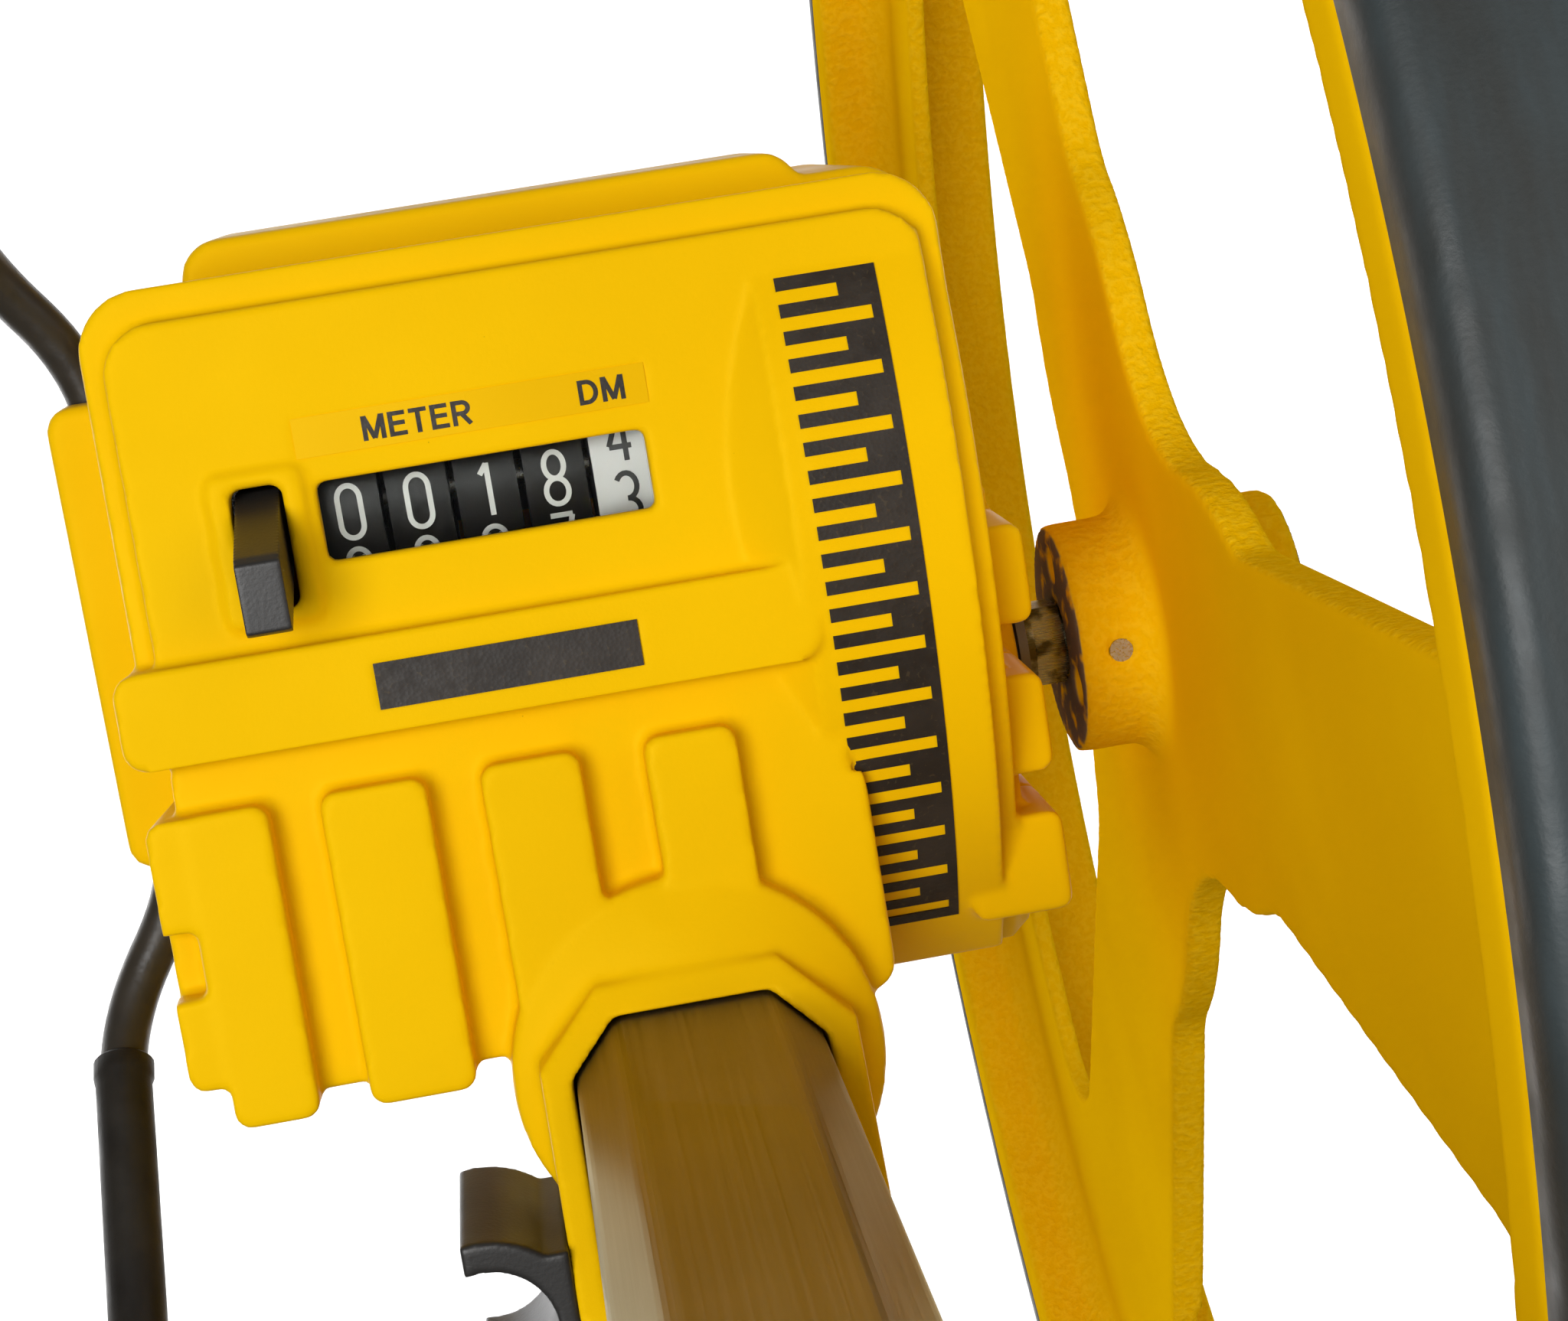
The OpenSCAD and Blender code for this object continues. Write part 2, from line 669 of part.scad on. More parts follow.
// Round bar swept along a path.
module sweep(p, r, n = 16) {
  m = len(p);
  polyhedron(points = [for (i = [0 : m - 1]) each ring(p, i, r, n)],
    faces = concat(side_faces(m, n, 0, true), [[for (k = [0 : n - 1]) k]],
      [[for (k = [n - 1 : -1 : 0]) (m - 1) * n + k]]), convexity = 6);
}

// Cap that fits over a swept bar: open at the path's start, closed at its end.
module sleeve(p, r_in, r_out, tip, n = 16) {
  m = len(p);
  out = concat(p, [p[m - 1] + tip * unit(p[m - 1] - p[m - 2])]);
  base = (m + 1) * n;
  polyhedron(points = concat([for (i = [0 : m]) each ring(out, i, r_out, n)],
      [for (i = [0 : m - 1]) each ring(p, i, r_in, n)]),
    faces = concat(side_faces(m + 1, n, 0, true), [[for (k = [n - 1 : -1 : 0]) m * n + k]],
      side_faces(m, n, base, false), [[for (k = [0 : n - 1]) base + (m - 1) * n + k]],
      [for (k = [0 : n - 1]) [k, (k + 1) % n, base + (k + 1) % n, base + k]]), convexity = 8);
}

module stand_wire() {
  place() color(BLACK) {
    translate([stand_x, 0, stand_z]) yrod(-4.9, 44.9, wire_d / 2);
    for (s = [-1, 1]) sweep(rounded(leg(s), 8), wire_d / 2);
  }
}

// The covered part of a leg's path, which starts after its second bend.
function covered(s) = let (p = rounded(leg(s), 8)) [for (i = [12 : len(p) - 1]) p[i]];

module stand_sleeves() {
  place() color(BLACK) for (s = [-1, 1]) sleeve(covered(s), wire_d / 2, sleeve_d / 2, 3);
}

// Hook on the socket's left side, open to the left.
module stand_clip() {
  r = 9.3;
  x = tube_x - tube_w / 2 - 3.2 - r + 1;
  y = tube_y - 11;
  place() color(BLACK) difference() {
    union() {
      translate([x, y, 40]) cylinder(h = 22, r = r);
      box(x + 5, y - 7, 40, x + r + 2, y + 7, 62);
    }
    translate([x, y, 39]) cylinder(h = 24, r = r - 3);
    box(x - 20, y - 20, 39, x - 1.5, y + 20, 63);
    tube_solid(0, 90, 3.2);
  }
}

// ---- handle ----

module lower_tube() {
  place() color(STEEL) difference() {
    tube_solid(5.2, fold_z - 6, 0);
    tube_solid(0, fold_z, -tube_t);
    // holes for the socket screw and the hinge rivets
    translate([tube_x, tube_y, 42]) rotate([90, 0, 0]) cylinder(h = 30, r = 2.2);
    for (z = rivet_low) translate([0, tube_y, z]) xrod(-20, 40, 2);
  }
}

module socket_screw() {
  place() color(STEEL) translate([tube_x, tube_y, 42]) rotate([90, 0, 0]) difference() {
    union() {
      cylinder(h = 18, r = 2.1);
      translate([0, 0, 17.35]) cylinder(h = 2.2, r = 4.2);
    }
    for (a = [0, 90]) rotate([0, 0, a]) box(-2.6, -0.45, 18.5, 2.6, 0.45, 20);
  }
}

// Y range between the tube's middle and the hinge.
module hinge_block(x0, z0, x1, z1) { box(x0, tube_y, z0, x1, fold_y, z1); }

module hinge_fork() {
  place() color(BLACK) difference() {
    union() {
      translate([tube_x, tube_y, fold_z - 46]) linear_extrude(40) tube_section(-tube_t - 0.1);
      tube_solid(fold_z - 6, fold_z, 1.2);
      for (x = [tube_x - 13.3, tube_x + 6.2]) {
        translate([0, fold_y, fold_z]) xrod(x, x + 7.1, 7);
        hinge_block(x, fold_z - 6, x + 7.1, fold_z);
      }
    }
    translate([0, fold_y, fold_z]) xrod(-20, 40, 3);
    for (z = rivet_low) translate([0, tube_y, z]) xrod(-20, 40, 2);
    // the tongue swings between the cheeks
    translate([0, fold_y, fold_z]) xrod(tube_x - 6.2, tube_x + 6.2, 7.6);
  }
}

module hinge_tongue() {
  place() color(BLACK) difference() {
    union() {
      translate([tube_x, tube_y, fold_z + 6.4]) linear_extrude(40) tube_section(-tube_t - 0.1);
      tube_solid(fold_z + 0.4, fold_z + 6.4, 1.2);
      translate([0, fold_y, fold_z]) xrod(tube_x - 5.8, tube_x + 5.8, 7);
      hinge_block(tube_x - 5.8, fold_z + 0.4, tube_x + 5.8, fold_z + 6.4);
    }
    translate([0, fold_y, fold_z]) xrod(-20, 40, 3.05);
    // room for the fork's cheeks
    for (x = [tube_x - 20, tube_x + 5.8]) translate([0, fold_y, fold_z]) xrod(x, x + 14.2, 7.6);
    for (z = rivet_high) translate([0, tube_y, z]) xrod(-20, 40, 2);
  }
}

module hinge_bolt() {
  place() color(STEEL) translate([0, fold_y, fold_z]) {
    xrod(tube_x - 20.8, tube_x + 13.6, 3);
    translate([tube_x + 13.6, 0, 0]) rotate([0, 90, 0]) cylinder(h = 3.6, r = 5.6, $fn = 6);
  }
}

module lock_knob() {
  place() color(BLACK) translate([0, fold_y, fold_z]) difference() {
    union() {
      xrod(tube_x - 22.8, tube_x - 14.8, 12);
      xrod(tube_x - 14.8, tube_x - 13.6, 7);
    }
    xrod(tube_x - 20.86, tube_x, 3.05);
    for (k = [0 : 5]) rotate([60 * k, 0, 0]) translate([0, 0, 15.4]) xrod(-20, 2, 5.4);
  }
}

rivet_low = [fold_z - 34, fold_z - 18];
rivet_high = [fold_z + 18, fold_z + 34];

module rivets(heights) {
  place() color(STEEL) for (z = heights) translate([0, tube_y, z]) {
    xrod(tube_x - tube_w / 2, tube_x + tube_w / 2, 2);
    for (s = [-1, 1]) translate([tube_x + s * (tube_w / 2 + 0.6), 0, 0]) xrod(-0.6, 0.6, 3.2);
  }
}

module fork_rivets() rivets(rivet_low);
module tongue_rivets() rivets(rivet_high);

module upper_tube() {
  place() color(STEEL) difference() {
    tube_solid(fold_z + 6.4, tube_top, 0);
    tube_solid(fold_z, tube_top + 5, -tube_t);
    for (z = concat(rivet_high, [tube_top - 20])) translate([0, tube_y, z]) xrod(-20, 40, 2);
  }
}

// Outer shape of the hand grip: a collar on the tube and a handle that reaches back.
module grip_shape() {
  translate([tube_x, tube_y, tube_top - 46]) cylinder(h = 60, r = 19.5);
  translate([tube_x, grip_y, grip_z]) rotate([90 - grip_rise, 0, 0]) {
    cylinder(h = grip_len - 12, r = 16.5);
    translate([0, 0, grip_len - 13]) cylinder(h = 13, r = 18);
    translate([0, 0, -4]) cylinder(h = 6, r = 18.5);
    translate([0, 0, 4]) sphere(r = 20, $fn = 64);
  }
}

module grip_half(side) {
  place() color(BLACK) difference() {
    intersection() {
      grip_shape();
      box(side > 0 ? tube_x : tube_x - 40, -300, 0, side > 0 ? tube_x + 40 : tube_x, 100, 1200);
    }
    tube_solid(0, tube_top + 0.2, 0.25);
    translate([0, hang_y, hang_z]) xrod(-40, 60, 4.5);
    for (p = grip_screw_at) translate([0, p[0], p[1]]) xrod(-40, 60, 1.5);
    translate([0, tube_y, tube_top - 20]) xrod(-40, 60, 2);
  }
}

grip_screw_at = [for (d = [26, 74]) [grip_y - d * cos(grip_rise), grip_z + d * sin(grip_rise)]];

module grip_left() grip_half(-1);
module grip_right() grip_half(1);

module grip_screws() {
  place() color(STEEL) for (p = grip_screw_at) translate([0, p[0], p[1]])
    xrod(tube_x - 12, tube_x + 12, 1.5);
  place() color(STEEL) translate([0, tube_y, tube_top - 20]) {
    xrod(tube_x - 17, tube_x + 17, 2);
  }
}

tyre();
wheel_body();
axle();
hub_pin();
hub_cap_nut();
axle_washers();
circlips();
axle_bush_outer();
axle_bush_inner();
axle_gear();
front_shell();
back_shell();
case_screws();
window_lens();
label_strip();
badge_plate();
scale_strip();
counter_frame();
frame_screws();
drum_shaft();
drum_1();
drum_2();
drum_3();
drum_4();
drum_5();
counter_gear();
idler_gear_a();
idler_gear_b();
idler_studs();
pinion_shaft();
pinion_1();
pinion_2();
pinion_3();
pinion_4();
reset_lever();
reset_pin();
stand_wire();
stand_sleeves();
stand_clip();
lower_tube();
socket_screw();
hinge_fork();
hinge_tongue();
hinge_bolt();
fork_rivets();
tongue_rivets();
lock_knob();
upper_tube();
grip_left();
grip_right();
grip_screws();
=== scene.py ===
"""Looks of the measuring wheel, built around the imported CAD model.

Lengths written as plain numbers are millimetres from the wheel's axle: x from the counter towards the
wheel, y forward, z up the tube. at() turns them into the frame's metres."""

import json
import math

import bmesh
import bpy
from mathutils import Matrix, Vector


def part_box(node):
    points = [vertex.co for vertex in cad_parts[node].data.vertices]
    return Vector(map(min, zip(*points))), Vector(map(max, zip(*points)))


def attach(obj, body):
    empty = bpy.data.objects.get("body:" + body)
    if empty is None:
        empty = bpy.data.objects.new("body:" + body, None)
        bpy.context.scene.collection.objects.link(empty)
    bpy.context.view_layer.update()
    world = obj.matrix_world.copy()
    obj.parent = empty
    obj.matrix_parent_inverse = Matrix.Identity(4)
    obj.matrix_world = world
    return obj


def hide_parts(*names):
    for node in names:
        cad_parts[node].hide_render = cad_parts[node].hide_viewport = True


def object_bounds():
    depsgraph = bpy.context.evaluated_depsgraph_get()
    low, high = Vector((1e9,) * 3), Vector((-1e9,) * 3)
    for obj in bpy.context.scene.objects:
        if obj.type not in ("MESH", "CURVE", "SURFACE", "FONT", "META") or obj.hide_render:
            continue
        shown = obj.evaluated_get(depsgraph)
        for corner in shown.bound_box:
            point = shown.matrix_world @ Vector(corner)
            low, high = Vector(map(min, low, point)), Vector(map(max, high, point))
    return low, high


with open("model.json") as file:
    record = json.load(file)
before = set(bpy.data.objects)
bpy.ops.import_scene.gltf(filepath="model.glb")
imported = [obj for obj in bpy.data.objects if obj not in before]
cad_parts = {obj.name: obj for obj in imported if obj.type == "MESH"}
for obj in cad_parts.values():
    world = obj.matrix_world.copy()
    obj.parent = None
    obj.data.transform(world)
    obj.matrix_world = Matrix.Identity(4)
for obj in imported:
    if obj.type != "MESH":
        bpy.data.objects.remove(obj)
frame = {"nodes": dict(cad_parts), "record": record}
NODES = frame["nodes"]
cad_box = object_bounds()

MM = 0.001
TYRE_X = (57.1, 81.2)
tyre_lo, tyre_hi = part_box("tyre")
AXLE = Vector((tyre_lo.x - TYRE_X[0] * MM, (tyre_lo.y + tyre_hi.y) / 2, (tyre_lo.z + tyre_hi.z) / 2))


def at(x, y, z):
    return AXLE + Vector((x, y, z)) * MM


# ---------------------------------------------------------------- materials


class Look:
    """One Principled material; its methods add texture nodes and return their outputs."""

    def __init__(self, name, **sockets):
        self.mat = bpy.data.materials.new(name)
        self.mat.use_nodes = True
        self.nt = self.mat.node_tree
        self.bsdf = self.nt.nodes["Principled BSDF"]
        for key, value in sockets.items():
            self.bsdf.inputs[key.replace("_", " ")].default_value = value
        self.coords = self.nt.nodes.new("ShaderNodeTexCoord").outputs["Object"]

    def link(self, value, socket):
        if isinstance(value, bpy.types.NodeSocket):
            self.nt.links.new(value, socket)
        else:
            socket.default_value = value

    def set(self, socket, value):
        self.link(value, self.bsdf.inputs[socket])

    def noise(self, size, detail=2.0, rough=0.5, stretch=(1, 1, 1)):
        """Noise with features about size mm across, stretched by the given factors."""
        m = self.nt.nodes.new("ShaderNodeMapping")
        m.inputs["Scale"].default_value = [1 / s for s in stretch]
        self.nt.links.new(self.coords, m.inputs["Vector"])
        n = self.nt.nodes.new("ShaderNodeTexNoise")
        n.inputs["Scale"].default_value = 1 / (size * MM)
        n.inputs["Detail"].default_value = detail
        n.inputs["Roughness"].default_value = rough
        self.nt.links.new(m.outputs["Vector"], n.inputs["Vector"])
        return n.outputs["Fac"]

    def cells(self, size):
        """Distance to the nearest of points scattered about size mm apart."""
        v = self.nt.nodes.new("ShaderNodeTexVoronoi")
        v.inputs["Scale"].default_value = 1 / (size * MM)
        self.nt.links.new(self.coords, v.inputs["Vector"])
        return v.outputs["Distance"]

    def math(self, op, a, b=0.0, clamp=False):
        n = self.nt.nodes.new("ShaderNodeMath")
        n.operation = op
        n.use_clamp = clamp
        for value, socket in zip((a, b), n.inputs):
            self.link(value, socket)
        return n.outputs[0]

    def ramp(self, fac, lo, hi, a=0.0, b=1.0):
        """a below lo, b above hi, and smooth between."""
        n = self.nt.nodes.new("ShaderNodeMapRange")
        n.interpolation_type = "SMOOTHSTEP"
        for value, socket in zip((fac, lo, hi, a, b), n.inputs):
            self.link(value, socket)
        return n.outputs["Result"]

    def mix(self, fac, a, b):
        n = self.nt.nodes.new("ShaderNodeMix")
        n.data_type = "RGBA"
        colour = [i for i in n.inputs if i.type == "RGBA"]
        self.link(fac, n.inputs["Factor"])
        for value, socket in zip((a, b), colour):
            self.link(value if isinstance(value, bpy.types.NodeSocket) else (*value, 1), socket)
        return [o for o in n.outputs if o.type == "RGBA"][0]

    def axis(self, name):
        n = self.nt.nodes.new("ShaderNodeSeparateXYZ")
        self.nt.links.new(self.coords, n.inputs[0])
        return n.outputs[name]

    def facing(self, name):
        """How much the surface faces along one axis of the object, 0 to 1."""
        g = self.nt.nodes.new("ShaderNodeNewGeometry")
        n = self.nt.nodes.new("ShaderNodeSeparateXYZ")
        self.nt.links.new(g.outputs["Normal"], n.inputs[0])
        return self.math("ABSOLUTE", n.outputs[name])

    def axle_distance(self):
        """Distance from the wheel's axle line, in mm."""
        y = self.math("SUBTRACT", self.axis("Y"), AXLE.y)
        z = self.math("SUBTRACT", self.axis("Z"), AXLE.z)
        squares = self.math("ADD", self.math("MULTIPLY", y, y), self.math("MULTIPLY", z, z))
        return self.math("MULTIPLY", self.math("SQRT", squares), 1 / MM)

    def axle_x(self):
        """Distance along the axle from the origin of the plain numbers, in mm."""
        return self.math("MULTIPLY", self.math("SUBTRACT", self.axis("X"), AXLE.x), 1 / MM)

    def bumps(self, *layers):
        """Bump layers of (height, depth in mm)."""
        normal = None
        for height, depth in layers:
            n = self.nt.nodes.new("ShaderNodeBump")
            n.inputs["Strength"].default_value = 1.0
            n.inputs["Distance"].default_value = depth * MM
            self.nt.links.new(height, n.inputs["Height"])
            if normal is not None:
                self.nt.links.new(normal, n.inputs["Normal"])
            normal = n.outputs["Normal"]
        self.set("Normal", normal)
        return self


def clouded(look, a, b, size, detail=3):
    """Two close tones in soft clouds about size mm across."""
    return look.mix(look.ramp(look.noise(size, detail), 0.3, 0.7), a, b)


def specks(look, size, amount=0.02):
    """0 on the surface and 1 in small rare specks of dust and scuffs."""
    dots = look.ramp(look.cells(size), amount, 0.0)
    return look.math("MULTIPLY", dots, look.ramp(look.noise(size * 3), 0.5, 0.62))


def moulded(name, a, b, rough=0.36, grain=0.45, depth=0.012, **sockets):
    """Injection-moulded plastic: two tones, a fine grain, faint flow waves and a little dust."""
    k = Look(name, **sockets)
    tone = clouded(k, a, b, 34)
    dust = k.math("MULTIPLY", specks(k, 5.5), 0.75)
    k.set("Base Color", k.mix(dust, tone, [0.35 * v for v in a]))
    k.set("Roughness", k.ramp(k.noise(14, 4), 0.25, 0.75, rough - 0.05, rough + 0.07))
    return k.bumps((k.noise(9, 1), 0.05), (k.noise(grain, 2), depth))


def metal(name, a, b, rough, stretch=(1, 1, 1), size=0.25, depth=0.003):
    """Bare metal: two tones, machining streaks and duller patches."""
    k = Look(name, Metallic=1.0)
    k.set("Base Color", k.mix(k.ramp(k.noise(12, 4), 0.35, 0.65), a, b))
    streaks = k.noise(size, 3, 0.6, stretch)
    polish = k.ramp(streaks, 0.3, 0.7, rough - 0.06, rough + 0.08)
    k.set("Roughness", k.math("ADD", polish, k.ramp(k.noise(8, 4), 0.5, 0.75, 0, 0.12)))
    return k.bumps((streaks, depth))


M = {}

# the yellow plastic's gloss is tinted, so its highlights stay as full as in the photo
YELLOW_GLOSS = (1.0, 0.72, 0.06, 1.0)
M["case_yellow"] = moulded(
    "case_yellow",
    (0.88, 0.520, 0.001),
    (0.84, 0.488, 0.001),
    0.42,
    Specular_IOR_Level=0.20,
    Specular_Tint=YELLOW_GLOSS,
)
M["bush_plastic"] = moulded("bush_plastic", (0.16, 0.13, 0.08), (0.12, 0.10, 0.06), 0.45)
M["gear_plastic"] = moulded("gear_plastic", (0.82, 0.80, 0.72), (0.76, 0.73, 0.64), 0.4)
M["frame_grey"] = moulded("frame_grey", (0.20, 0.20, 0.21), (0.16, 0.16, 0.17), 0.5)
M["black_plastic"] = moulded(
    "black_plastic", (0.016, 0.015, 0.014), (0.024, 0.022, 0.020), 0.42, 0.35, 0.02
)
M["drum_black"] = moulded(
    "drum_black", (0.010, 0.009, 0.008), (0.016, 0.014, 0.012), 0.36, Specular_IOR_Level=0.3
)
M["drum_white"] = moulded("drum_white", (0.80, 0.80, 0.78), (0.74, 0.74, 0.72), 0.35)

# wheel: a duller plastic of the same colour, with a coarse orange-peel skin on the spokes' edges,
# whose pits are painted paler there as a painted highlight, and bare, scuffed resin on the hub's end
# faces
k = Look("wheel_yellow", Specular_IOR_Level=0.0, Specular_Tint=YELLOW_GLOSS)
edge = k.ramp(k.facing("X"), 0.93, 0.6)
far = k.axle_distance()
x_mm = k.axle_x()
end_faces = k.math("ADD", k.ramp(x_mm, 58.4, 58.1), k.ramp(x_mm, 83.2, 83.45))
hub_end = k.math("MULTIPLY", k.ramp(far, 12.6, 12.2), end_faces, clamp=True)
worn = k.math("MULTIPLY", hub_end, k.ramp(k.noise(3.2, 4), 0.30, 0.5))
tone = clouded(k, (0.88, 0.500, 0.001), (0.82, 0.450, 0.001), 40)
pits = k.ramp(k.noise(0.9, 2), 0.40, 0.62)
# painted highlight: surfaces that don't face along the axle, the spokes' edges above all, are painted
# paler in small pits
edge_highlight_painted = k.math("MULTIPLY", k.math("MULTIPLY", edge, 0.30), pits)
tone = k.mix(edge_highlight_painted, tone, (0.95, 0.62, 0.02))
k.set("Base Color", k.mix(worn, tone, (0.16, 0.125, 0.085)))
satin = k.ramp(k.noise(12, 4), 0.25, 0.75, 0.34, 0.46)
k.set("Roughness", k.math("ADD", satin, k.math("MULTIPLY", worn, -0.1)))
M["wheel_yellow"] = k.bumps(
    (k.noise(11, 2), 0.10),
    (k.math("MULTIPLY", k.noise(0.9, 2), edge), 0.28),
    (k.noise(0.4, 2), 0.012),
    (k.math("MULTIPLY", k.noise(1.6, 4), hub_end), 0.3),
)

# tyre: dusty charcoal rubber with fine lines round the tread; its colour holds a painted bluish sheen
# in clouds on the tread and a painted brown reflection of the yellow rim on the shoulders
k = Look("tyre_rubber", Specular_IOR_Level=0.45)
x_mm = k.axle_x()
tread = k.ramp(k.axle_distance(), 156.6, 158.6)
cloud = k.ramp(k.noise(16, 5, 0.6, (0.5, 2, 2)), 0.3, 0.72)
# painted sheen and reflection: the tread is painted bluish grey in clouds, the shoulders and sides dark
# brown as the yellow rim's reflection
painted_tread_sheen = k.math("MULTIPLY", tread, k.math("ADD", 0.25, k.math("MULTIPLY", cloud, 0.75)))
tone = k.mix(painted_tread_sheen, (0.016, 0.013, 0.008), (0.034, 0.049, 0.054))
dust = k.math("MULTIPLY", specks(k, 3.0, 0.03), 0.6)
k.set("Base Color", k.mix(dust, tone, (0.30, 0.30, 0.28)))
k.set("Roughness", k.ramp(k.noise(7, 4), 0.3, 0.7, 0.42, 0.60))
LINE_PITCH = 1.35
lines = k.math("SINE", k.math("MULTIPLY", x_mm, 2 * math.pi / LINE_PITCH))
M["tyre_rubber"] = k.bumps(
    (k.math("MULTIPLY", lines, tread), 0.006), (k.noise(0.5, 3), 0.03), (k.noise(9, 3), 0.10)
)

# anodised aluminium: drawing lines along the tube
k = Look("tube_aluminium", Metallic=1.0, Specular_Tint=(0.42, 0.36, 0.24, 1.0))
k.set("Base Color", clouded(k, (0.52, 0.485, 0.40), (0.47, 0.44, 0.365), 25, 2))
drawn = k.noise(0.35, 2, 0.5, (1, 1, 160))
k.set("Roughness", k.ramp(drawn, 0.2, 0.8, 0.30, 0.38))
M["tube_aluminium"] = k.bumps((drawn, 0.0012), (k.noise(0.25, 2), 0.0015))
M["steel"] = metal("steel", (0.60, 0.59, 0.57), (0.48, 0.47, 0.45), 0.30)

# zinc-plated axle with a film of old grease
k = metal("zinc_steel", (0.36, 0.33, 0.22), (0.24, 0.21, 0.12), 0.26, (30, 1, 1), 0.2, 0.01)
grease = k.ramp(k.noise(3.0, 4), 0.42, 0.6)
k.set("Base Color", k.mix(grease, (0.42, 0.38, 0.24), (0.085, 0.065, 0.02)))
M["zinc_steel"] = k

# lacquered wire with a slight orange peel
k = Look("wire_black", Specular_IOR_Level=0.4)
k.set("Base Color", clouded(k, (0.020, 0.016, 0.011), (0.034, 0.027, 0.018), 9))
k.set("Roughness", k.ramp(k.noise(4, 4), 0.3, 0.7, 0.30, 0.46))
M["wire_black"] = k.bumps((k.noise(1.6, 2), 0.05), (k.noise(0.35, 3), 0.012))

# the stand's sleeves: soft black rubber with a fine grain and long shallow waves
k = Look("sleeve_rubber", Specular_IOR_Level=0.3)
k.set("Base Color", clouded(k, (0.009, 0.007, 0.005), (0.017, 0.014, 0.010), 6))
k.set("Roughness", k.ramp(k.noise(5, 4), 0.3, 0.7, 0.38, 0.55))
M["sleeve_rubber"] = k.bumps((k.noise(0.3, 3), 0.02), (k.noise(2.5, 2, 0.5, (1, 1, 6)), 0.05))

# grip rubber: small raised diamonds between two smooth bands, and the parting line of its halves
k = Look("grip_black", Sheen_Weight=0.15)
k.set("Base Color", clouded(k, (0.018, 0.018, 0.018), (0.030, 0.029, 0.028), 18))
k.set("Roughness", k.ramp(k.noise(6, 4), 0.3, 0.7, 0.55, 0.72))
seam = k.ramp(k.math("ABSOLUTE", k.axis("X")), 0.0001, 0.00035)
y_out = k.axis("Y")
z_out = k.axis("Z")
STUD_PITCH = 0.0030
cross_a, cross_b = (
    k.math("SINE", k.math("MULTIPLY", k.math(op, y_out, z_out), 2 * math.pi / STUD_PITCH))
    for op in ("ADD", "SUBTRACT")
)
studs = k.ramp(k.math("MULTIPLY", cross_a, cross_b), 0.0, 0.5)
held = k.math("MULTIPLY", k.ramp(y_out, 0.006, 0.009), k.ramp(y_out, 0.074, 0.071))
studs = k.math("MULTIPLY", k.math("MULTIPLY", studs, held), k.ramp(k.facing("X"), 0.25, 0.5))
M["grip_black"] = k.bumps((seam, 0.35), (studs, 0.30), (k.noise(0.5, 3), 0.04))

# printed black: satin ink on a fine leathery grain, paler between the grain's cells
k = Look("print_black", Specular_IOR_Level=0.25)
grain = k.cells(0.42)
tone = clouded(k, (0.020, 0.015, 0.011), (0.032, 0.025, 0.019), 6, 4)
k.set("Base Color", k.mix(k.ramp(grain, 0.75, 0.95, 0, 0.5), tone, (0.07, 0.05, 0.025)))
k.set("Roughness", k.ramp(k.noise(1.2, 3), 0.3, 0.7, 0.36, 0.52))
M["print_black"] = k.bumps((grain, 0.012))

# glossy clear sticker over the same yellow
M["label"] = moulded(
    "label",
    (0.82, 0.470, 0.001),
    (0.78, 0.440, 0.001),
    0.30,
    0.6,
    0.004,
    Specular_IOR_Level=0.4,
    Specular_Tint=YELLOW_GLOSS,
)

k = Look("lens", Roughness=0.03, IOR=1.18, Transmission_Weight=1.0)
k.set("Base Color", k.mix(k.noise(20, 2), (0.96, 0.98, 0.97), (0.92, 0.95, 0.94)))
M["lens"] = k.bumps((k.noise(6, 2), 0.008), (k.noise(0.5, 3, 0.7, (8, 1, 1)), 0.0015))

M["digit_white"] = moulded("digit_white", (0.80, 0.80, 0.76), (0.70, 0.70, 0.66), 0.5, 0.2, 0.01)
M["digit_black"] = moulded("digit_black", (0.030, 0.030, 0.030), (0.05, 0.05, 0.05), 0.5, 0.2, 0.01)


def paint(obj, look):
    """Gives an object one look and no other."""
    obj.data.materials.clear()
    obj.data.materials.append(M[look].mat)


for part in frame["record"]["subparts"]:
    paint(NODES[part["node"]], part["material_slot"])

# ---------------------------------------------------------------- mesh helpers


def add_mesh(name, verts, faces, look, body, smooth=True):
    """A new piece from corners in metres, in the row's frame."""
    mesh = bpy.data.meshes.new(name)
    mesh.from_pydata([tuple(v) for v in verts], [], faces)
    mesh.validate()
    obj = bpy.data.objects.new(name, mesh)
    bpy.context.scene.collection.objects.link(obj)
    if smooth:
        mesh.shade_smooth()
    paint(obj, look)
    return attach(obj, body)


def bake(obj):
    """Applies the modifiers."""
    bpy.context.view_layer.update()
    mesh = bpy.data.meshes.new_from_object(obj.evaluated_get(bpy.context.evaluated_depsgraph_get()))
    obj.modifiers.clear()
    obj.data = mesh


def welded(nodes):
    """One bmesh of the CAD nodes' surfaces, closed again where the file had split them."""
    bm = bmesh.new()
    for n in nodes:
        bm.from_mesh(NODES[n].data)
    bmesh.ops.remove_doubles(bm, verts=bm.verts, dist=1e-6)
    return bm


def soften(name, nodes, voxel, rounds, look, body, keep=None, add=None):
    """A moulded copy of CAD nodes, which it replaces: every edge gets a small fillet.

    voxel is in mm, keep is the share of faces left after thinning, and add puts more in first."""
    bm = welded(nodes)
    if add:
        add(bm)
    mesh = bpy.data.meshes.new(name)
    bm.to_mesh(mesh)
    bm.free()
    obj = bpy.data.objects.new(name, mesh)
    bpy.context.scene.collection.objects.link(obj)
    m = obj.modifiers.new("voxels", "REMESH")
    m.mode = "VOXEL"
    m.voxel_size = voxel * MM
    m = obj.modifiers.new("fillets", "SMOOTH")
    m.factor = 0.5
    m.iterations = rounds
    bake(obj)
    if keep:
        m = obj.modifiers.new("thin", "DECIMATE")
        m.ratio = keep
        bake(obj)
    obj.data.shade_smooth()
    paint(obj, look)
    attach(obj, body)
    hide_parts(*nodes)


